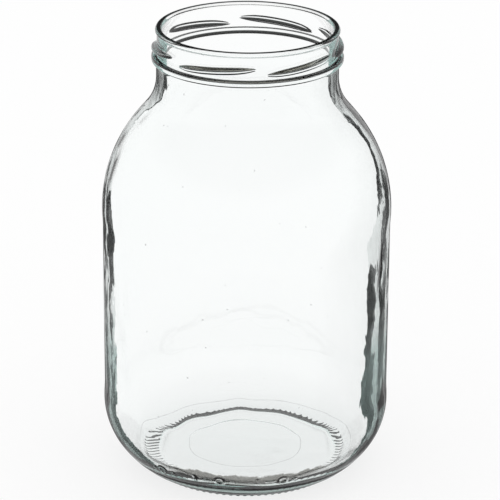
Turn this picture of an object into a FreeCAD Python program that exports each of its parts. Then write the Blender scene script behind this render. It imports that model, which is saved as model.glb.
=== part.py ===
import FreeCAD, Part
import math
import os

# A clear glass storage jar, blown in one piece, with a wide mouth for a lug cap.
# Millimetres.  +Z up.  Origin on the jar's axis, at the level it stands on.
# The six lugs climb to the right, seen from outside, as a right-hand thread does.

V = FreeCAD.Vector
Z_AXIS = V(0, 0, 1)

# ---- overall -----------------------------------------------------------------
height = 242.0            # standing level to the top of the rim
body_radius = 75.95       # outside of the two bands that touch the next jar
wall = 3.4                # glass of the body, shoulder and heel
band_relief = 0.35        # how far the label panel lies inside the two bands
panel_ease = 9.0          # height over which a band runs into the panel

# ---- finish: everything that the cap meets -------------------------------------
finish_radius = 46.9      # outside of the plain wall behind the lugs
lip_stand = 0.8           # how far the lip stands out from that wall
lip_glass = 3.5           # thickness of the lip
lip_depth = 2.3           # top of the rim to the underside of the lip
mouth_taper = 0.6         # how much narrower the bore is at the neck than at the lip
bead_stand = 2.8          # how far the bead below the lugs stands out
bead_height = 3.2         # from its flat underside to its flat top
bead_round = 1.0          # round along both of its edges
bead_drop = 16.2          # top of the rim to the middle of the bead
neck_stand = 0.35         # how far the neck below the bead stands out
neck_drop = 26.2          # top of the rim to the end of the neck

# ---- lugs ----------------------------------------------------------------------
lug_count = 6
lug_span = 52.0           # degrees round the finish, tip to tip
lug_first = -21.3         # degrees from the front (-Y) towards +X, middle of the first
lug_reach = 2.8           # how far a lug stands out from the finish
lug_thick = 3.7           # height of a lug at the wall, across its middle
lug_flank = 0.5           # how far its top and underside slope in towards its edge
lug_round = 0.8           # depth of its rounded edge
lug_rise = 3.2            # climb from its low tip to its high one
lug_drop = 10.5           # top of the rim to the middle of a lug
lug_sections = 9          # cross-sections that the lug is lofted through

# ---- shoulder --------------------------------------------------------------------
shoulder_radius = 78.0    # round that leaves the upper band
shoulder_flat = 6.5       # straight slope between the two rounds
neck_fillet = 27.0        # hollow round that runs into the neck

# ---- heel and base -----------------------------------------------------------------
heel_upper_radius = 38.0  # round under the lower band
heel_lower_radius = 42.0  # flatter round below it
heel_upper_turn = 23.0    # degrees turned where the two rounds meet
heel_turn = 60.0          # degrees turned where the heel runs straight to the bearing
heel_flat = 1.4           # length of that straight run
bearing_section = 4.0     # radius of the round ring that the jar stands on
push_lean = 4.0           # slope of the raised base at its edge, in degrees
push_edge = 1.6           # height of that edge
push_inset = 7.0          # bearing circle to that edge
heel_glass = 5.8          # thickness of the glass over the bearing ring
floor_lean = 8.0          # slope of the crowned inside floor at its edge, in degrees
plug_mark_radius = 29.8   # circle left on the base by the mould's plug
plug_mark_step = 0.35     # how far it is pressed in

# ---- knurls on the bearing ring ------------------------------------------------------
knurl_count = 90
knurl_height = 0.5        # how far they lift the ring off the table
knurl_root = 0.9          # how far they reach up into the ring
knurl_width = 1.1         # across the flat that touches the table
knurl_length = 3.2        # along the radius, on that flat
knurl_draft = 0.45        # how much each side spreads by the time it meets the root


def sin(degrees):
    return math.sin(math.radians(degrees))


def cos(degrees):
    return math.cos(math.radians(degrees))


class Pen:
    """Draws an outline in the XZ plane; x is the radius and z the height."""

    def __init__(self, radius, z):
        self.at = V(radius, 0, z)
        self.edges = []

    def line(self, radius, z):
        end = V(radius, 0, z)
        self.edges.append(Part.LineSegment(self.at, end).toShape())
        self.at = end

    def arc(self, centre, start, end):
        """A round about centre, from one direction to another, in degrees from +X."""
        size = self.at.distanceToPoint(V(centre[0], 0, centre[1]))
        middle = (start + end) / 2

        def point(angle):
            return V(centre[0] + size * cos(angle), 0, centre[1] + size * sin(angle))

        self.edges.append(Part.Arc(self.at, point(middle), point(end)).toShape())
        self.at = point(end)

    def ease(self, radius, z):
        """An upright S of two equal rounds to another radius."""
        step = radius - self.at.x
        half = (z - self.at.z) / 2
        turn = 2 * math.degrees(math.atan2(abs(step), 2 * half))
        size = half / sin(turn)
        centre_z = self.at.z
        if step > 0:
            self.arc((self.at.x + size, centre_z), 180, 180 - turn)
            self.arc((radius - size, z), -turn, 0)
        else:
            self.arc((self.at.x - size, centre_z), 0, turn)
            self.arc((radius + size, z), 180 + turn, 180)


def shoulder_lean(drop, convex, concave):
    """Slope of the straight run, in degrees, that joins two rounds over a given drop in radius."""
    reach = convex + concave
    whole = math.hypot(reach, shoulder_flat)
    turn = math.acos((reach - drop) / whole) - math.atan2(shoulder_flat, reach)
    return math.degrees(turn)


# ---- places worked out from the sizes above -----------------------------------------
lip_radius = finish_radius + lip_stand
bead_radius = finish_radius + bead_stand
neck_radius = finish_radius + neck_stand
neck_z = height - neck_drop
lean = shoulder_lean(body_radius - neck_radius, shoulder_radius, neck_fillet)
shoulder_height = (shoulder_radius + neck_fillet) * sin(lean) + shoulder_flat * cos(lean)
shoulder_z = neck_z - shoulder_height

bearing_radius = (
    body_radius
    - heel_upper_radius * (1 - cos(heel_upper_turn))
    - heel_lower_radius * (cos(heel_upper_turn) - cos(heel_turn))
    - heel_flat * sin(heel_turn)
    - bearing_section * cos(heel_turn)
)
heel_z = (
    knurl_height
    + bearing_section * (1 - sin(heel_turn))
    + heel_flat * cos(heel_turn)
    + heel_lower_radius * (sin(heel_turn) - sin(heel_upper_turn))
    + heel_upper_radius * sin(heel_upper_turn)
)


def draw_base(pen):
    """Raised base with the plug mark, then the ring that the jar stands on."""
    edge = bearing_radius - push_inset
    dome = edge / sin(push_lean)
    centre_z = push_edge - dome * cos(push_lean)

    def dome_z(radius):
        return centre_z + math.sqrt(dome ** 2 - radius ** 2)

    mark = plug_mark_radius
    mark_angle = math.degrees(math.acos(mark / (dome + plug_mark_step)))
    pen.arc((0, centre_z), 90, mark_angle)
    pen.line(mark + plug_mark_step, dome_z(mark + plug_mark_step))
    pen.arc((0, centre_z), math.degrees(math.acos(pen.at.x / dome)), 90 - push_lean)
    ring_z = knurl_height + bearing_section
    inner = 180 + heel_turn
    pen.line(bearing_radius + bearing_section * cos(inner), ring_z + bearing_section * sin(inner))
    pen.arc((bearing_radius, ring_z), inner, 360 - heel_turn)


def draw_heel(pen):
    """Outside of the heel, up to the lower band."""
    upper = (body_radius - heel_upper_radius, heel_z)
    lower = (
        upper[0] - (heel_lower_radius - heel_upper_radius) * cos(heel_upper_turn),
        upper[1] + (heel_lower_radius - heel_upper_radius) * sin(heel_upper_turn),
    )
    pen.line(lower[0] + heel_lower_radius * cos(heel_turn), lower[1] - heel_lower_radius * sin(heel_turn))
    pen.arc(lower, -heel_turn, -heel_upper_turn)
    pen.arc(upper, -heel_upper_turn, 0)


def draw_side(pen):
    """The two bands with the label panel between them, then the shoulder and the neck."""
    panel = body_radius - band_relief
    pen.ease(panel, heel_z + panel_ease)
    pen.line(panel, shoulder_z - panel_ease)
    pen.ease(body_radius, shoulder_z)
    pen.arc((body_radius - shoulder_radius, shoulder_z), 0, lean)
    hollow = (neck_radius + neck_fillet, neck_z)
    pen.line(hollow[0] - neck_fillet * cos(lean), hollow[1] - neck_fillet * sin(lean))
    pen.arc(hollow, 180 + lean, 180)


def draw_finish(pen):
    """Bead, plain wall and rounded lip."""
    low = height - bead_drop - bead_height / 2
    high = low + bead_height
    centre = bead_radius - bead_round
    pen.line(neck_radius, low)
    pen.line(centre, low)
    pen.arc((centre, low + bead_round), -90, 0)
    pen.line(bead_radius, high - bead_round)
    pen.arc((centre, high - bead_round), 0, 90)
    pen.line(finish_radius, high)
    lip_half = lip_glass / 2
    lip_z = height - lip_half
    under = height - lip_depth
    pen.line(finish_radius, under - lip_stand / 2)
    pen.ease(lip_radius, under + lip_stand / 2)
    pen.line(lip_radius, lip_z)
    pen.arc((lip_radius - lip_half, lip_z), 0, 180)


def draw_inside(pen):
    """Inside of the glass, from the lip down to the crowned floor."""
    bore = lip_radius - lip_glass - mouth_taper
    body = body_radius - wall
    pen.line(bore, neck_z)
    hollow = (bore + neck_fillet + wall, neck_z)
    inner_lean = shoulder_lean(body - bore, shoulder_radius - wall, neck_fillet + wall)
    pen.arc(hollow, 180, 180 + inner_lean)
    round_z = neck_z - (shoulder_radius + neck_fillet) * sin(inner_lean) - shoulder_flat * cos(inner_lean)
    outer = shoulder_radius - wall
    pen.line(body - outer + outer * cos(inner_lean), round_z + outer * sin(inner_lean))
    pen.arc((body - outer, round_z), inner_lean, 0)
    pen.line(body, heel_z)
    upper = heel_upper_radius - wall
    pen.arc((body - upper, heel_z), 0, -heel_upper_turn)
    lower = (pen.at.z - knurl_height - heel_glass) / (1 - sin(heel_upper_turn))
    centre = (pen.at.x - lower * cos(heel_upper_turn), pen.at.z + lower * sin(heel_upper_turn))
    pen.arc(centre, -heel_upper_turn, -90 - floor_lean)
    dome = pen.at.x / sin(floor_lean)
    pen.arc((0, pen.at.z - dome * cos(floor_lean)), 90 - floor_lean, 90)


def make_body():
    """The plain jar: one closed outline turned about the axis."""
    dome = (bearing_radius - push_inset) / sin(push_lean)
    pen = Pen(0, push_edge + dome * (1 - cos(push_lean)) + plug_mark_step)
    draw_base(pen)
    draw_heel(pen)
    draw_side(pen)
    draw_finish(pen)
    draw_inside(pen)
    pen.line(0, push_edge + dome * (1 - cos(push_lean)) + plug_mark_step)
    return Part.Face(Part.Wire(pen.edges)).revolve(V(0, 0, 0), Z_AXIS, 360)


def lug_section(along):
    """Cross-section of a lug with a rounded edge; along runs from -1 at its low tip to 1 at its high one."""
    swell = 1 - along ** 4
    root = finish_radius - 1.0
    tip = finish_radius - 0.25 + (lug_reach + 0.25) * swell
    half = 0.35 + (lug_thick / 2 - 0.35) * swell
    z = height - lug_drop + along * lug_rise / 2
    edge = half - lug_flank * swell
    shoulder = tip - 0.05 - lug_round * swell
    low = [V(root, 0, z - half), V(shoulder, 0, z - edge)]
    high = [V(shoulder, 0, z + edge), V(root, 0, z + half)]
    underside = Part.LineSegment(*low).toShape()
    rounded = Part.Arc(low[1], V(tip, 0, z), high[0]).toShape()
    top = Part.LineSegment(*high).toShape()
    back = Part.LineSegment(high[1], low[0]).toShape()
    section = Part.Wire([underside, rounded, top, back])
    section.rotate(V(0, 0, 0), Z_AXIS, along * lug_span / 2)
    return section


def make_lugs():
    steps = [2 * i / (lug_sections - 1) - 1 for i in range(lug_sections)]
    lug = Part.makeLoft([lug_section(math.sin(step * math.pi / 2)) for step in steps], True, False)
    lugs = []
    for i in range(lug_count):
        turned = lug.copy()
        turned.rotate(V(0, 0, 0), Z_AXIS, -90 + lug_first + i * 360 / lug_count)
        lugs.append(turned)
    return lugs


def rectangle(length, width, z):
    x = bearing_radius
    corners = [
        V(x - length / 2, -width / 2, z),
        V(x + length / 2, -width / 2, z),
        V(x + length / 2, width / 2, z),
        V(x - length / 2, width / 2, z),
    ]
    return Part.makePolygon(corners + corners[:1])


def make_knurls():
    """Short radial bars with sloping sides, all round the bearing ring."""
    spread = 2 * knurl_draft
    foot = rectangle(knurl_length, knurl_width, 0)
    root = rectangle(knurl_length + spread, knurl_width + spread, knurl_height + knurl_root)
    knurl = Part.makeLoft([foot, root], True, True)
    knurls = []
    for i in range(knurl_count):
        turned = knurl.copy()
        turned.rotate(V(0, 0, 0), Z_AXIS, i * 360 / knurl_count)
        knurls.append(turned)
    return knurls


def make_jar():
    return make_body().multiFuse(make_lugs() + make_knurls()).Solids[0]


os.makedirs("parts", exist_ok=True)
make_jar().exportStep("parts/jar.step")
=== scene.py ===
import math

import bpy
from mathutils import Matrix, Vector, noise


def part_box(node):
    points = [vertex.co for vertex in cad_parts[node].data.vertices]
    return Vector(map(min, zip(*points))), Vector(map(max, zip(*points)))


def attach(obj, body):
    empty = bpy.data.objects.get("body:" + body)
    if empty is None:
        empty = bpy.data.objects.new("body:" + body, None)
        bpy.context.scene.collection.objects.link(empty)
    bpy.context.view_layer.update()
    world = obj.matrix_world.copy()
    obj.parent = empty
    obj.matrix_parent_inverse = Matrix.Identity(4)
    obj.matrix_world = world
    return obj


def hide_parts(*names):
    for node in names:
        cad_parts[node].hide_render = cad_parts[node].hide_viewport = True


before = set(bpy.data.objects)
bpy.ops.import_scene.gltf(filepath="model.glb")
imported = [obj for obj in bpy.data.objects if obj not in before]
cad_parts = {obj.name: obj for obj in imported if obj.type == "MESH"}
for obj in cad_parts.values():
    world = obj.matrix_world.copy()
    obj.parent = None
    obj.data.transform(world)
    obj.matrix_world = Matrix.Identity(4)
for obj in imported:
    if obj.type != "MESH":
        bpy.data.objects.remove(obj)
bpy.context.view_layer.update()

# A clear glass storage jar standing open on a pale table.
# Sizes of the glass are in millimetres; MM turns them into metres.

MM = 0.001
jar_low, jar_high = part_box("jar")

# ---- sizes of the jar ---------------------------------------------------------------
height = (jar_high[2] - jar_low[2]) / MM
body_radius = (jar_high[0] - jar_low[0]) / 2 / MM
wall = 3.4
band_relief = 0.35
panel_ease = 9.0

finish_radius = 46.9
lip_radius = finish_radius + 0.8
lip_glass = 3.5
lip_depth = 2.3
mouth_taper = 0.6
bead_radius = finish_radius + 2.8
bead_height = 3.2
bead_round = 1.0
bead_drop = 16.2
neck_radius = finish_radius + 0.35
neck_drop = 26.2

lug_count = 6
lug_span = 52.0
lug_first = -21.3          # degrees from the front to the middle of the first lug
lug_reach = 2.8
lug_thick = 3.7
lug_tip = 0.7              # thickness at the very ends
lug_flank = 0.5
lug_tip_flank = 0.08
lug_round = 0.8            # part of the reach that the rounded crest takes up
lug_rise = 3.2
lug_drop = 10.5

shoulder_radius = 78.0
shoulder_flat = 6.5
neck_fillet = 27.0

heel_upper_radius = 38.0
heel_lower_radius = 42.0
heel_upper_turn = 23.0
heel_turn = 60.0
heel_flat = 1.4
bearing_section = 4.0
foot_turn = 76.0           # the ring eases into the base at this turn
push_lean = 4.0
push_edge = 1.6
push_inset = 7.0
heel_glass = 5.8
floor_lean = 8.0
plug_mark_radius = 29.8
plug_mark_step = 0.12
plug_mark_ease = 0.05      # degrees of the dome that the circle's edge takes up

knurl_count = 90
knurl_height = 0.5
knurl_stand = 0.4          # how far the fire-softened knurls still stand out
knurl_reach = 1.9          # length of a knurl along the radius, outside the ring's lowest line
knurl_inner = 2.9          # and inside it
knurl_fade = 0.9           # its ends ease into the ring over this length

seam_radius = 59.4         # ring that the base mould leaves on the heel
seam_height = 0.16
seam_half = 0.45           # half its width
mark_turn = 31.0           # row of mould dots and bars, at this turn down the heel
mark_margin = 6.0          # degrees that it takes up above and below
mark_half = 3.4            # half the height that it takes up
mark_clear = 2.0           # it keeps this far outside the mould's ring
mark_height = 0.3
mark_step = 5.4            # degrees from one to the next
mark_first = -43.0         # the marks run along the front of the heel, from here
mark_last = 24.0           # to here
dot_radius = 1.2
bar_half = 1.0             # half the width of a bar
bar_crest = 0.45           # half the width of its level top
upright_bar = 2.0          # half the length of an upright bar, without its round ends
level_bar = 1.4            # half the length of a level bar
ring_radius = 2.0
ring_half = 0.9            # half the width of the ring's line
ring_crest = 0.35          # half the width of its level top
ring_squeeze = 0.8         # leaves the rings a little taller than wide

# ---- unevenness of the blown inside -------------------------------------------------
swell_height = 0.55
swell_width = 24.0
swell_length = 70.0
ripple_height = 0.14
ripple_width = 9.0
ripple_length = 26.0
ripple_shift = 7.0         # keeps the ripples out of step with the swells
calm_start = 2.0           # the pressed mouth is even; the unevenness begins this far down
calm_depth = 40.0          # and is full this far down

# ---- how finely the glass is divided --------------------------------------------------
COARSE = 180               # faces round the body
FINISH = 360               # round the lugs
FINE = 720                 # round the knurls: eight to a knurl


def sin(degrees):
    return math.sin(math.radians(degrees))


def cos(degrees):
    return math.cos(math.radians(degrees))


def smooth(edge0, edge1, x):
    t = min(max((x - edge0) / (edge1 - edge0), 0.0), 1.0)
    return t * t * (3 - 2 * t)


# ---- camera ------------------------------------------------------------------------------
def make_camera():
    data = bpy.data.cameras.new("studio_camera")
    data.sensor_width = 36.0
    data.lens = 212.1
    camera = bpy.data.objects.new("studio_camera", data)
    place = Vector((0.0, -1.4532, 0.6796))
    aim = Vector((0.0019, 0.0, 0.11865))
    look = (aim - place).to_track_quat("-Z", "Y").to_matrix().to_4x4()
    roll = Matrix.Rotation(0.00675, 4, "Z")
    camera.matrix_world = Matrix.Translation(place) @ look @ roll
    data.clip_start = 0.01
    data.clip_end = 100.0
    bpy.context.scene.collection.objects.link(camera)
    bpy.context.scene.camera = camera


# ---- outline of the glass ------------------------------------------------------------------
class Outline:
    """Stations down one side of the glass: radius, height, outward direction, faces round, side."""

    def __init__(self):
        self.stations = []
        self.around = COARSE
        self.side = "outside"

    def add(self, radius, z, nr, nz):
        self.stations.append((radius, z, nr, nz, self.around, self.side))

    def arc(self, centre, size, start, end, count, hollow=False):
        """A round about centre from one direction to another, in degrees; hollow faces its centre."""
        turn = -1 if hollow else 1
        for i in range(count):
            a = start + (end - start) * (i + 0.5) / count
            self.add(centre[0] + size * cos(a), centre[1] + size * sin(a), turn * cos(a), turn * sin(a))

    def line(self, start, end, count):
        run = end[0] - start[0]
        climb = end[1] - start[1]
        along = Vector((run, climb)).normalized()
        for i in range(count):
            t = (i + 0.5) / count
            self.add(start[0] + run * t, start[1] + climb * t, along.y, -along.x)

    def ease(self, start, end, count):
        """An upright S from one radius to another."""
        run = end[0] - start[0]
        climb = end[1] - start[1]
        for i in range(count):
            t = (i + 0.5) / count
            slope = 6 * t * (1 - t) * run / climb
            n = Vector((1, -slope)).normalized()
            self.add(start[0] + run * smooth(0, 1, t), start[1] + climb * t, n.x, n.y)


def shoulder_lean(drop, convex, concave):
    """How far the shoulder turns in before the straight stretch that leads to the neck."""
    reach = convex + concave
    whole = math.hypot(reach, shoulder_flat)
    return math.degrees(math.acos((reach - drop) / whole) - math.atan2(shoulder_flat, reach))


neck_z = height - neck_drop
lean = shoulder_lean(body_radius - neck_radius, shoulder_radius, neck_fillet)
shoulder_z = neck_z - (shoulder_radius + neck_fillet) * sin(lean) - shoulder_flat * cos(lean)
bearing_radius = (
    body_radius
    - heel_upper_radius * (1 - cos(heel_upper_turn))
    - heel_lower_radius * (cos(heel_upper_turn) - cos(heel_turn))
    - heel_flat * sin(heel_turn)
    - bearing_section * cos(heel_turn)
)
heel_z = (
    knurl_height
    + bearing_section * (1 - sin(heel_turn))
    + heel_flat * cos(heel_turn)
    + heel_lower_radius * (sin(heel_turn) - sin(heel_upper_turn))
    + heel_upper_radius * sin(heel_upper_turn)
)
bead_low = height - bead_drop - bead_height / 2
bead_high = bead_low + bead_height
push_radius = bearing_radius - push_inset
bearing_middle = (bearing_radius, knurl_height + bearing_section)

heel_gap = heel_lower_radius - heel_upper_radius
heel_upper_middle = (body_radius - heel_upper_radius, heel_z)
heel_lower_middle = (
    heel_upper_middle[0] - heel_gap * cos(heel_upper_turn),
    heel_upper_middle[1] + heel_gap * sin(heel_upper_turn),
)
mark_radius = heel_lower_middle[0] + heel_lower_radius * cos(mark_turn)
mark_z = heel_lower_middle[1] - heel_lower_radius * sin(mark_turn)


def on_round(middle, size, turn):
    """The point of a round that lies at a turn, in degrees up from level."""
    return middle[0] + size * cos(turn), middle[1] + size * sin(turn)


def outline_base(out):
    """The pushed-up underside with its plug circle, then the ring that the jar stands on."""
    dome = push_radius / sin(push_lean)
    middle = (0.0, push_edge - dome * cos(push_lean))
    mark = 90 - math.degrees(math.asin(plug_mark_radius / dome))
    raised = dome + plug_mark_step
    out.add(0.0, middle[1] + raised, 0.0, -1.0)
    out.arc(middle, raised, 90, mark + plug_mark_ease, 10, hollow=True)
    out.line(on_round(middle, raised, mark), on_round(middle, dome, mark - plug_mark_ease), 3)
    out.arc(middle, dome, mark - 1.6 * plug_mark_ease, 90 - push_lean, 8, hollow=True)
    out.around = FINE
    out.line((push_radius, push_edge), on_round(bearing_middle, bearing_section, 180 + foot_turn), 6)
    out.arc(bearing_middle, bearing_section, 180 + foot_turn, 360 - heel_turn, 12)


def outline_heel(out):
    """Two rounds; the lower one is finely divided where the mould marks run."""
    start = on_round(bearing_middle, bearing_section, -heel_turn)
    end = on_round(heel_lower_middle, heel_lower_radius, -heel_turn)
    below_marks = -mark_turn - mark_margin
    above_marks = -mark_turn + mark_margin
    out.line(start, end, 2)
    out.arc(heel_lower_middle, heel_lower_radius, -heel_turn, below_marks, 8)
    out.arc(heel_lower_middle, heel_lower_radius, below_marks, above_marks, 22)
    out.around = COARSE
    out.arc(heel_lower_middle, heel_lower_radius, above_marks, -heel_upper_turn, 2)
    out.arc(heel_upper_middle, heel_upper_radius, -heel_upper_turn, 0, 10)


def outline_side(out):
    """The recessed panel between its two bands, the shoulder and the hollow neck."""
    panel = body_radius - band_relief
    out.ease((body_radius, heel_z), (panel, heel_z + panel_ease), 6)
    out.line((panel, heel_z + panel_ease), (panel, shoulder_z - panel_ease), 16)
    out.ease((panel, shoulder_z - panel_ease), (body_radius, shoulder_z), 6)
    shoulder = (body_radius - shoulder_radius, shoulder_z)
    hollow = (neck_radius + neck_fillet, neck_z)
    out.arc(shoulder, shoulder_radius, 0, lean, 20)
    out.line(on_round(shoulder, shoulder_radius, lean), on_round(hollow, neck_fillet, 180 + lean), 3)
    out.arc(hollow, neck_fillet, 180 + lean, 180, 10, hollow=True)


def outline_finish(out):
    """The bead, the wall that carries the lugs, and the lip."""
    ledge = bead_radius - bead_round
    out.line((neck_radius, neck_z), (neck_radius, bead_low), 6)
    out.line((neck_radius, bead_low), (ledge, bead_low), 2)
    out.arc((ledge, bead_low + bead_round), bead_round, -90, 0, 5)
    out.line((bead_radius, bead_low + bead_round), (bead_radius, bead_high - bead_round), 2)
    out.arc((ledge, bead_high - bead_round), bead_round, 0, 90, 5)
    out.line((ledge, bead_high), (finish_radius, bead_high), 2)
    lug_z = height - lug_drop
    lug_half = (lug_thick + lug_rise) / 2
    under = height - lip_depth
    stand = (lip_radius - finish_radius) / 2
    out.around = FINISH
    out.line((finish_radius, bead_high), (finish_radius, lug_z + lug_half), 48)
    out.around = COARSE
    out.line((finish_radius, lug_z + lug_half), (finish_radius, under - stand), 4)
    out.ease((finish_radius, under - stand), (lip_radius, under + stand), 6)
    half = lip_glass / 2
    out.line((lip_radius, under + stand), (lip_radius, height - half), 1)
    out.arc((lip_radius - half, height - half), half, 0, 180, 14)


def outline_inside(out):
    """The inside, down from the lip; its straight stretches are finely divided for the unevenness."""
    out.side = "inside"
    bore = lip_radius - lip_glass - mouth_taper
    body = body_radius - wall
    fillet = neck_fillet + wall
    round_size = shoulder_radius - wall
    inner_lean = shoulder_lean(body - bore, round_size, fillet)
    round_z = neck_z - (round_size + fillet) * sin(inner_lean) - shoulder_flat * cos(inner_lean)
    hollow = (bore + fillet, neck_z)
    shoulder = (body - round_size, round_z)
    out.line((lip_radius - lip_glass, height - lip_glass / 2), (bore, neck_z), 16)
    out.arc(hollow, fillet, 180, 180 + inner_lean, 10)
    out.line(on_round(hollow, fillet, 180 + inner_lean), on_round(shoulder, round_size, inner_lean), 3)
    out.arc(shoulder, round_size, inner_lean, 0, 16, hollow=True)
    out.line((body, round_z), (body, heel_z), 28)


def outline_floor(out):
    """The inside of the heel and the domed floor."""
    upper = heel_upper_radius - wall
    out.arc(heel_upper_middle, upper, 0, -heel_upper_turn, 6, hollow=True)
    joint = on_round(heel_upper_middle, upper, -heel_upper_turn)
    lower = (joint[1] - knurl_height - heel_glass) / (1 - sin(heel_upper_turn))
    lower_middle = on_round(joint, lower, 180 - heel_upper_turn)
    out.arc(lower_middle, lower, -heel_upper_turn, -90 - floor_lean, 20, hollow=True)
    edge = on_round(lower_middle, lower, -90 - floor_lean)
    dome = edge[0] / sin(floor_lean)
    dome_middle = (0.0, edge[1] - dome * cos(floor_lean))
    out.arc(dome_middle, dome, 90 - floor_lean, 90, 12)
    out.add(0.0, dome_middle[1] + dome, 0.0, 1.0)


# ---- relief on the plain outline ------------------------------------------------------------
def lug_relief(angle, z):
    """How far a lug stands out at an angle round the finish and a height."""
    pitch = 360.0 / lug_count
    turned = (angle - lug_first + pitch / 2) % pitch - pitch / 2
    along = turned / (lug_span / 2)
    if abs(along) >= 1:
        return 0.0
    swell = 1 - along ** 4
    middle = height - lug_drop + along * lug_rise / 2
    half = (lug_tip + (lug_thick - lug_tip) * swell) / 2
    inward = half - abs(z - middle)
    flank = lug_flank * swell + lug_tip_flank
    flat_reach = (lug_reach - lug_round) * swell
    if inward <= 0:
        return 0.0
    if inward < flank:
        return flat_reach * inward / flank
    around = min((inward - flank) / max(half - flank, 0.01), 1.0)
    return flat_reach + lug_round * swell * math.sqrt(1 - (1 - around) ** 2)


def knurl_relief(angle, radius):
    """Short radial bars on the ring that the jar stands on."""
    wave = 0.5 + 0.5 * cos(angle * knurl_count)
    bar = smooth(0.25, 0.8, wave)
    window = smooth(knurl_reach, knurl_reach - knurl_fade, radius - bearing_radius)
    window *= smooth(knurl_inner, knurl_inner - knurl_fade, bearing_radius - radius)
    return knurl_stand * bar * window


def in_mark_row(radius, z):
    return abs(z - mark_z) < mark_half and radius > seam_radius + mark_clear


def mark_relief(angle, z):
    """Mould dots, bars and rings along the front of the heel, in a plain repeating order."""
    turned = (angle + 180.0) % 360.0 - 180.0
    if not mark_first < turned < mark_last:
        return 0.0
    place = turned / mark_step
    number = round(place)
    kind = ("gap", "ring", "upright bar", "dot", "level bar")[(number * 7) % 5]
    across = (place - number) * math.radians(mark_step) * mark_radius
    along = (z - mark_z) / cos(mark_turn)
    if kind == "gap":
        return 0.0
    if kind == "dot":
        return mark_height * smooth(dot_radius, dot_radius / 2, math.hypot(across, along))
    if kind == "ring":
        away = abs(math.hypot(across, along * ring_squeeze) - ring_radius)
        return mark_height * smooth(ring_half, ring_crest, away)
    if kind == "upright bar":
        along = max(abs(along) - upright_bar, 0.0)
    else:
        across = max(abs(across) - level_bar, 0.0)
    return mark_height * smooth(bar_half, bar_crest, math.hypot(across, along))


def outside_relief(angle, radius, z):
    """Lugs above the bead; knurls, marks and the mould's ring on the foot and heel."""
    if z > bead_high:
        return lug_relief(angle, z)
    if z > heel_z:
        return 0.0
    if -knurl_inner < radius - bearing_radius < knurl_reach and z < push_edge:
        return knurl_relief(angle, radius)
    if in_mark_row(radius, z):
        return mark_relief(angle, z)
    return seam_height * smooth(seam_half, 0.0, abs(radius - seam_radius))


def inside_relief(angle, radius, z):
    """The uneven inside of blown glass, calm towards the pressed mouth."""
    calm = smooth(height - calm_start, height - calm_depth, z)
    x = radius * sin(angle)
    y = -radius * cos(angle)
    swell = noise.noise(Vector((x / swell_width, y / swell_width, z / swell_length)))
    ripple = noise.noise(Vector((x / ripple_width + ripple_shift, y / ripple_width, z / ripple_length)))
    return calm * (swell_height * swell + ripple_height * ripple)


def ring_of(station):
    """The points of one station, each moved out or in by its relief."""
    radius, z, nr, nz, around, side = station
    if radius == 0.0:
        return [Vector((0.0, 0.0, z * MM))]
    relief = outside_relief if side == "outside" else inside_relief
    ring = []
    for j in range(around):
        angle = 360.0 * j / around
        h = relief(angle, radius, z)
        r = (radius + nr * h) * MM
        ring.append(Vector((r * sin(angle), -r * cos(angle), (z + nz * h) * MM)))
    return ring


def mark_edges(station):
    """How strongly each point of a ring lies on the edge of a mould mark: the weight of painted shade there.
    """
    radius, z, nr, nz, around, side = station
    if side == "inside" or around != FINE or not in_mark_row(radius, z):
        return [0.0] * (around if radius > 0.0 else 1)
    steps = [mark_relief(360.0 * j / around, z) / mark_height for j in range(around)]
    return [4 * step * (1 - step) for step in steps]


def stitch(faces, a, a_count, b, b_count):
    """Faces between two rings whose counts are equal, a whole multiple apart, or one point."""
    if a_count == 1:
        for j in range(b_count):
            faces.append((a, b + (j + 1) % b_count, b + j))
        return
    if b_count == 1:
        for j in range(a_count):
            faces.append((a + j, a + (j + 1) % a_count, b))
        return
    if a_count == b_count:
        for j in range(a_count):
            k = (j + 1) % a_count
            faces.append((a + j, a + k, b + k, b + j))
        return
    few, many = min(a_count, b_count), max(a_count, b_count)
    ratio = many // few
    low, high = (a, b) if a_count == few else (b, a)
    for j in range(few):
        k = (j + 1) % few
        fan = [high + (j * ratio + i) % many for i in range(ratio + 1)]
        half = ratio // 2
        for i in range(ratio):
            corner = low + (j if i < half else k)
            face = (corner, fan[i + 1], fan[i])
            faces.append(face if a_count == few else face[::-1])
        middle = (low + j, low + k, fan[half])
        faces.append(middle if a_count == few else middle[::-1])


def make_glass():
    """One closed skin, from the middle of the underside up the outside and down the inside."""
    out = Outline()
    outline_base(out)
    outline_heel(out)
    outline_side(out)
    outline_finish(out)
    outline_inside(out)
    outline_floor(out)
    points, faces, rings, inside, marks = [], [], [], [], []
    for station in out.stations:
        ring = ring_of(station)
        inside.extend([float(station[5] == "inside")] * len(ring))
        marks.extend(mark_edges(station))
        rings.append((len(points), len(ring)))
        points.extend(ring)
    for (a, a_count), (b, b_count) in zip(rings, rings[1:]):
        stitch(faces, a, a_count, b, b_count)
    mesh = bpy.data.meshes.new("jar_glass")
    mesh.from_pydata(points, [], faces)
    # the second value weights the painted shade along the mould marks' edges
    for name, values in (("inside", inside), ("mark_edge_shade", marks)):
        mesh.attributes.new(name, "FLOAT", "POINT").data.foreach_set("value", values)
    mesh.validate()
    mesh.shade_smooth()
    glass = bpy.data.objects.new("jar_glass", mesh)
    bpy.context.scene.collection.objects.link(glass)
    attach(glass, "root")
    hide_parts("jar")
    glass.data.materials.append(glass_material())
    return glass


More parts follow.
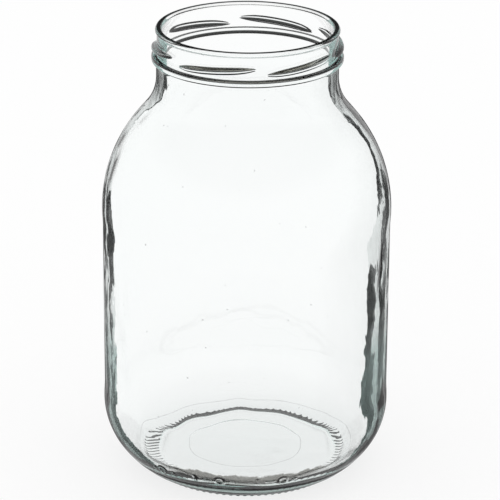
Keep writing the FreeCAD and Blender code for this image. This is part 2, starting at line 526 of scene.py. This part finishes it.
# ---- materials ---------------------------------------------------------------------------------
WHITE = (1.0, 1.0, 1.0, 1.0)
STREAK_SHADE = (0.014, 0.018, 0.017, 1.0)    # the darkest painted shade, in streak lines and other lines
EDGE_SHADE_TINT = (0.72, 0.76, 0.75, 1.0)          # painted shade, slightly green, on the wall seen on edge
DEEP_GREEN_AND_SHADE = (0.24, 0.38, 0.35, 1.0)          # the same painted shade, darker and greener low down where the glass is thick
# painted shade with the glass's green on the finish seen on edge, darker at its sides
FINISH_GREEN_AND_SHADE = (0.30, 0.46, 0.43, 1.0)
FINISH_SIDE_SHADE = (0.10, 0.24, 0.215, 1.0)
# painted shade in rows low on the foot, with the thick base's green
FOOT_GREEN_AND_SHADE = (0.38, 0.56, 0.51, 1.0)
# brownish painted shade at the front of the heel
HEEL_SHADE_BROWN = (0.60, 0.54, 0.44, 1.0)
# brownish painted shade on the upward-facing flanks of the lugs and bead
LUG_FLANK_SHADE = (0.40, 0.37, 0.26)
GLASS_DEPTH = (0.28, 0.74, 0.65, 1.0)        # the green that a long way through the glass gives


def new_material(name):
    material = bpy.data.materials.new(name)
    material.use_nodes = True
    tree = material.node_tree
    return material, tree, tree.nodes["Principled BSDF"]


def plug_in(tree, value, socket):
    """Sets a socket to a plain value, or leads a field or another socket into it."""
    if isinstance(value, Field):
        value = value.socket
    if isinstance(value, (int, float, tuple)):
        socket.default_value = value
    else:
        tree.links.new(value, socket)


class Field:
    """A value that changes over the surface; plain arithmetic on it adds the math nodes."""

    def __init__(self, tree, socket):
        self.tree = tree
        self.socket = socket

    def compute(self, operation, *values):
        node = self.tree.nodes.new("ShaderNodeMath")
        node.operation = operation
        for value, socket in zip(values, node.inputs):
            plug_in(self.tree, value, socket)
        return Field(self.tree, node.outputs[0])

    def __add__(self, other):
        return self.compute("ADD", self, other)

    def __sub__(self, other):
        return self.compute("SUBTRACT", self, other)

    def __rsub__(self, other):
        return self.compute("SUBTRACT", other, self)

    def __mul__(self, other):
        return self.compute("MULTIPLY", self, other)

    def __truediv__(self, other):
        return self.compute("DIVIDE", self, other)

    def __abs__(self):
        return self.compute("ABSOLUTE", self)

    def or_more(self, other):
        return self.compute("MAXIMUM", self, other)

    def or_less(self, other):
        return self.compute("MINIMUM", self, other)

    def above(self, level):
        """1 over the level and 0 below it."""
        return self.compute("GREATER_THAN", self, level)

    def colours(self, *stops):
        """A colour that follows this value through a few stops."""
        node = self.tree.nodes.new("ShaderNodeValToRGB")
        ramp = node.color_ramp
        while len(ramp.elements) < len(stops):
            ramp.elements.new(0.5)
        for element, (position, colour) in zip(ramp.elements, stops):
            element.position = position
            element.color = (*colour, 1.0)
        self.tree.links.new(self.socket, node.inputs["Fac"])
        return Field(self.tree, node.outputs["Color"])

    def follow(self, *stops):
        """A plain value that follows this one through a few stops."""
        return self.colours(*[(position, (value, value, value)) for position, value in stops])

    def mix(self, a, b, blend="MIX"):
        """a where this value is 0 and b where it is 1."""
        node = self.tree.nodes.new("ShaderNodeMix")
        node.data_type = "RGBA"
        node.blend_type = blend
        for value, name in ((self, "Factor"), (a, "A"), (b, "B")):
            plug_in(self.tree, value, node.inputs[name])
        return Field(self.tree, node.outputs["Result"])


def noise_field(tree, point, scale, detail=0.0, roughness=0.5, distortion=0.0):
    node = tree.nodes.new("ShaderNodeTexNoise")
    node.inputs["Scale"].default_value = scale
    node.inputs["Detail"].default_value = detail
    node.inputs["Roughness"].default_value = roughness
    node.inputs["Distortion"].default_value = distortion
    tree.links.new(point, node.inputs["Vector"])
    return Field(tree, node.outputs["Fac"])


def drawn_tall(tree, point, squeeze):
    """The same places with their heights squeezed, so that a noise there is drawn out upwards."""
    node = tree.nodes.new("ShaderNodeMapping")
    node.inputs["Scale"].default_value = (1.0, 1.0, squeeze)
    tree.links.new(point, node.inputs["Vector"])
    return node.outputs["Vector"]


def parts_of(tree, vector):
    node = tree.nodes.new("ShaderNodeSeparateXYZ")
    tree.links.new(vector, node.inputs[0])
    return [Field(tree, output) for output in node.outputs]


def joined(tree, x=0.0, y=0.0, z=0.0):
    node = tree.nodes.new("ShaderNodeCombineXYZ")
    for value, socket in zip((x, y, z), node.inputs):
        plug_in(tree, value, socket)
    return node.outputs[0]


def over_middle(place):
    """Turns 50 mm before the middle to 50 mm past it into 0 to 1."""
    return place * 10.0 + 0.5


def length_of(tree, vector):
    node = tree.nodes.new("ShaderNodeVectorMath")
    node.operation = "LENGTH"
    tree.links.new(vector, node.inputs[0])
    return Field(tree, node.outputs["Value"])


def kept_value(tree, name):
    """A value that the mesh keeps at its points."""
    node = tree.nodes.new("ShaderNodeAttribute")
    node.attribute_name = name
    return Field(tree, node.outputs["Fac"])


class Glass:
    """What the shading of the glass follows: the place, the way the surface faces, and two noises."""

    def __init__(self, tree):
        self.tree = tree
        place = tree.nodes.new("ShaderNodeTexCoord")
        edge = tree.nodes.new("ShaderNodeLayerWeight")
        edge.inputs["Blend"].default_value = 0.5
        geometry = tree.nodes.new("ShaderNodeNewGeometry")
        self.point = place.outputs["Object"]
        self.x, self.y, self.z = parts_of(tree, self.point)
        self.facing = Field(tree, edge.outputs["Facing"])
        self.leaving = Field(tree, geometry.outputs["Backfacing"])
        self.entering = 1.0 - self.leaving
        self.outer = 1.0 - kept_value(tree, "inside")
        self.upward = parts_of(tree, place.outputs["Normal"])[2] * 0.5 + 0.5
        narrow = drawn_tall(tree, self.point, 0.30)
        self.fine = noise_field(tree, narrow, 280.0, detail=2.0, roughness=0.6, distortion=0.8)
        wide = drawn_tall(tree, self.point, 0.45)
        self.broad = noise_field(tree, wide, 55.0, detail=2.0, roughness=0.5, distortion=0.4)
        self.tall = self.z / (height * MM)
        self.rise = self.tall + (self.fine * 0.08 - 0.04)
        self.right = over_middle(self.x).follow((0.2, 0.0), (0.8, 1.0))
        self.low = self.rise.follow((0.30, 1.0), (0.40, 0.0))
        self.ringed = self.z.above((bead_low - 0.2) * MM)
        self.lip = self.z.above((height - lip_depth - 1.0) * MM)
        behind = over_middle(self.y).follow((0.57, 1.0), (0.66, 0.0))
        aside = abs(self.x) / (bead_radius * MM)
        self.sideways = aside.follow((0.60, 0.0), (0.88, 1.0)) * behind


def across_band(glass):
    """How far in from the outline a point lies: 0 at the very edge, 1 where the painted edge shade ends."""
    reach_left = glass.tall.follow(
        (0.0, 0.42), (0.15, 0.38), (0.20, 0.35), (0.64, 0.35), (0.74, 0.26), (0.82, 0.28), (0.86, 0.44)
    )
    reach_right = glass.tall.follow(
        (0.0, 0.30), (0.10, 0.36), (0.18, 0.50), (0.56, 0.50), (0.66, 0.43), (0.76, 0.36), (0.86, 0.44)
    )
    ragged = glass.fine * 0.09 - 0.045
    wander = glass.broad * 0.16 - 0.08
    return (ragged + wander - glass.facing + 1.0) / glass.right.mix(reach_left, reach_right)


def painted_edge_streaks(glass, across):
    """Streak lines of painted shade along the outline: at the rim, in the core and at the inner end."""
    rim = across.follow((0.0, 0.30), (0.24, 0.30), (0.30, 0.0))
    core = across.follow((0.36, 0.0), (0.42, 0.27), (0.62, 0.25), (0.68, 0.0))
    inner_wide = across.follow((0.66, 0.0), (0.76, 0.34), (0.985, 0.36), (1.0, 0.0))
    inner_slim = across.follow((0.74, 0.0), (0.84, 0.30), (0.90, 0.38), (0.985, 0.36), (1.0, 0.0))
    inner = glass.right.mix(inner_wide, inner_slim)
    core_rise = glass.rise.follow((0.0, 1.0), (0.66, 0.95), (0.71, 0.1), (0.84, 0.1), (0.88, 0.5))
    core_rise = core_rise * (glass.right * 0.25 + 0.75)
    left_rise = glass.rise.follow(
        (0.0, 0.5), (0.30, 0.35), (0.50, 0.35), (0.53, 1.0),
        (0.64, 1.0), (0.67, 0.0), (0.84, 0.0), (0.88, 0.35),
    )
    right_rise = glass.rise.follow(
        (0.0, 0.5), (0.28, 0.8), (0.50, 0.85), (0.54, 0.0), (0.62, 0.0),
        (0.66, 1.0), (0.80, 1.0), (0.83, 0.2), (0.86, 0.2), (0.90, 0.35),
    )
    likely = core * core_rise + rim
    likely = inner * glass.right.mix(left_rise, right_rise) + likely

    # a noise laid across the painted edge shade and up the jar, with other lines on the right than on the
    # left
    lines = joined(glass.tree, across * 4.5, glass.right * 7.0 + 2.3, glass.tall * 6.0)
    wander = noise_field(glass.tree, lines, 1.0, detail=2.5, roughness=0.6, distortion=0.6)
    drawn = wander * 0.5 + (likely * 0.5 + 0.18)
    crisp = drawn.follow((0.485, 0.0), (0.515, 0.80), (0.60, 0.93))
    brushed = (glass.fine * 0.20 + drawn).follow((0.46, 0.0), (0.66, 0.93))
    neck = glass.rise.follow((0.82, 0.0), (0.86, 1.0))
    return neck.mix(crisp, brushed) * (glass.low * -0.13 + 1.0)


def edge_shade_band(glass, across, held):
    """Streak lines of painted shade over a thin veil of it, calmed at the foot, with the small seeds in the
    glass.
    """
    sunk = glass.rise.follow((0.0, 1.0), (0.10, 0.85), (0.22, 0.45), (0.40, 0.0), (0.83, 0.0), (0.88, 1.0))
    veil = across.follow((0.0, 0.70), (0.6, 0.5), (1.0, 0.22))
    veil = (sunk * 0.75 + veil) * glass.fine
    calm = glass.tall.follow((0.028, 0.0), (0.045, 0.15), (0.08, 1.0))
    # a faint painted shade a little further in on the right
    hush = (across * 0.5).follow((0.5, 0.09), (0.82, 0.0)) * glass.right
    seeds = noise_field(glass.tree, glass.point, 420.0).follow((0.858, 0.0), (0.878, 0.28))
    return (painted_edge_streaks(glass, across).or_more(veil) * held * calm).or_more(hush).or_more(seeds)


def heel_shade_patch(glass):
    """A duller, brownish area of painted shade in front, where the wall begins to thicken into the base."""
    heel_reach = 50 * MM
    patch_height = glass.broad * (10 * MM) + (glass.fine * (3 * MM) + glass.z)
    heel_shade = (patch_height / heel_reach).follow((0.40, 0.0), (0.43, 0.64), (0.55, 0.60), (0.57, 0.0))
    return heel_shade * glass.facing.follow((0.46, 1.0), (0.56, 0.0)) * glass.entering


def foot_shade_rows(glass):
    """Painted shade in rows low on the foot, where the thick base is seen on edge: how dark, and how green.
    """
    foot_reach = 20 * MM
    row = glass.fine * 0.04 + (glass.z / foot_reach - 0.02)
    dark = row.follow(
        (0.20, 0.50), (0.275, 0.72), (0.35, 0.35), (0.40, 0.42),
        (0.465, 0.86), (0.515, 0.72), (0.56, 0.12), (0.60, 0.0),
    )
    green = row.follow((0.50, 1.0), (0.62, 0.0))
    return dark * glass.entering, green * glass.entering


def mould_ring_shade(glass):
    """Thin lines of painted shade where the plug circle and the base mould's ring ease into the glass."""
    span = length_of(glass.tree, joined(glass.tree, glass.x, glass.y))
    from_plug = abs(span - plug_mark_radius * MM)
    from_seam = abs(span - seam_radius * MM)
    away = from_plug.or_less(from_seam) * (1 / MM)
    lines = away.follow((0.12, 0.5), (0.30, 0.0))
    return lines * (1.0 - glass.z.above(heel_z / 2 * MM)) * glass.fine


def finish_flank_shade(glass, edge_shade):
    """Painted shade on the lug and bead flanks that turn up or down, and a painted dark line on the lip's
    crest.
    """
    turned = glass.leaving * 0.05 + glass.upward    # seen from within, it reads as facing further up
    near = turned.follow(
        (0.38, 1.0), (0.42, 0.0), (0.56, 0.0), (0.61, 0.94), (0.72, 0.94), (0.82, 0.72), (0.98, 0.60)
    )
    far = turned.follow((0.38, 1.0), (0.42, 0.0), (0.56, 0.0), (0.61, 0.985), (0.96, 0.985), (0.99, 0.60))
    flanks = glass.leaving.mix(near, far) * (glass.sideways * -0.93 + 1.0)
    crest = turned.follow((0.89, 0.0), (0.92, 0.92)) * glass.entering
    edges = edge_shade * (glass.sideways * -0.24 + 0.4) * glass.entering
    return glass.lip.mix(flanks, crest).or_more(edges), turned


def glass_tint_and_shade(glass, held, turned, heel_shade, foot_green_and_shade_mask):
    """The green of the glass, and the grey, green and brownish painted shade of the outer surface."""
    # painted shade where the wall is seen on edge, with the glass's green
    edge_tint_and_shade = glass.low.mix(EDGE_SHADE_TINT, DEEP_GREEN_AND_SHADE)
    edge_tint_and_shade = glass.ringed.mix(edge_tint_and_shade, glass.sideways.mix(FINISH_GREEN_AND_SHADE, FINISH_SIDE_SHADE))
    body = held.mix(WHITE, edge_tint_and_shade)
    # brownish painted shade on the flanks of the lugs and bead that face up
    flank_shade_tint = turned.colours((0.74, WHITE[:3]), (0.88, LUG_FLANK_SHADE))
    flank_shade_mask = (glass.ringed - glass.lip - glass.sideways).or_more(0.0) * 0.9
    body = flank_shade_mask.mix(body, flank_shade_tint, "MULTIPLY")
    body = heel_shade.mix(body, HEEL_SHADE_BROWN)
    body = foot_green_and_shade_mask.mix(body, FOOT_GREEN_AND_SHADE)
    return glass.outer.mix(WHITE, body)


def glass_material():
    """Clear glass with a green tint and painted shade: a near-black coat darkens it along the outline,
    finish, heel and foot.
    """
    material, tree, surface = new_material("green_white_glass")
    surface.inputs["Roughness"].default_value = 0.0
    surface.inputs["IOR"].default_value = 1.52
    surface.inputs["Transmission Weight"].default_value = 1.0
    surface.inputs["Coat IOR"].default_value = 1.0
    surface.inputs["Coat Tint"].default_value = STREAK_SHADE

    glass = Glass(tree)
    across = across_band(glass)
    held = across.follow((0.0, 1.0), (0.985, 1.0), (1.0, 0.0))
    edge_shade = edge_shade_band(glass, across, held)
    # painted shade at the front of the heel and in rows on the foot
    heel_shade = heel_shade_patch(glass)
    foot_shade, foot_green_and_shade_mask = foot_shade_rows(glass)
    # painted shade along the mould rings and the edges of the mould marks
    marks = mould_ring_shade(glass).or_more(kept_value(tree, "mark_edge_shade") * 0.85)
    wall_shade = (edge_shade * glass.entering).or_more(heel_shade.or_more(marks).or_more(foot_shade))
    # painted shade on the lug and bead flanks and on the lip's crest
    pressed, turned = finish_flank_shade(glass, edge_shade)
    # painted shade: the near-black coat darkens the glass by these weights
    plug_in(tree, glass.ringed.mix(wall_shade, pressed) * glass.outer, surface.inputs["Coat Weight"])
    plug_in(tree, glass_tint_and_shade(glass, held, turned, heel_shade, foot_green_and_shade_mask), surface.inputs["Base Color"])

    depth = tree.nodes.new("ShaderNodeVolumeAbsorption")
    depth.inputs["Color"].default_value = GLASS_DEPTH
    depth.inputs["Density"].default_value = 6.0
    tree.links.new(depth.outputs["Volume"], tree.nodes["Material Output"].inputs["Volume"])
    return material


def shown_white(tree):
    """1 for what the eye, gloss and clear glass show."""
    path = tree.nodes.new("ShaderNodeLightPath")
    eye, gloss, clear = [
        Field(tree, path.outputs[name]) for name in ("Is Camera Ray", "Is Glossy Ray", "Is Transmission Ray")
    ]
    return eye.or_more(gloss.or_more(clear))


def table_material():
    material, tree, surface = new_material("pale_table")
    surface.inputs["Base Color"].default_value = (0.96, 0.96, 0.96, 1.0)
    surface.inputs["Roughness"].default_value = 0.9
    surface.inputs["Specular IOR Level"].default_value = 0.0
    white = tree.nodes.new("ShaderNodeEmission")
    blend = tree.nodes.new("ShaderNodeMixShader")
    plug_in(tree, shown_white(tree) * 0.8, blend.inputs["Fac"])
    tree.links.new(surface.outputs[0], blend.inputs[1])
    tree.links.new(white.outputs[0], blend.inputs[2])
    tree.links.new(blend.outputs[0], tree.nodes["Material Output"].inputs["Surface"])
    return material


# ---- studio ---------------------------------------------------------------------------------------
def make_table():
    mesh = bpy.data.meshes.new("table")
    reach = 6.0
    corners = [(-reach, -reach, 0), (reach, -reach, 0), (reach, reach, 0), (-reach, reach, 0)]
    mesh.from_pydata(corners, [], [(0, 1, 2, 3)])
    table = bpy.data.objects.new("table", mesh)
    table.data.materials.append(table_material())
    bpy.context.scene.collection.objects.link(table)


def make_world():
    """A white studio under a slightly darker ceiling."""
    world = bpy.data.worlds.new("studio_world")
    bpy.context.scene.world = world
    world.use_nodes = True
    tree = world.node_tree
    back = tree.nodes["Background"]
    place = tree.nodes.new("ShaderNodeTexCoord")
    upward = parts_of(tree, place.outputs["Generated"])[2]
    ceiling = upward.follow((0.0, 1.0), (0.36, 1.0), (0.6, 0.75))
    plug_in(tree, shown_white(tree).mix(WHITE, ceiling), back.inputs["Color"])
    back.inputs["Strength"].default_value = 1.0


make_camera()
make_glass()
make_table()
make_world()
bpy.context.scene.view_settings.view_transform = "Standard"
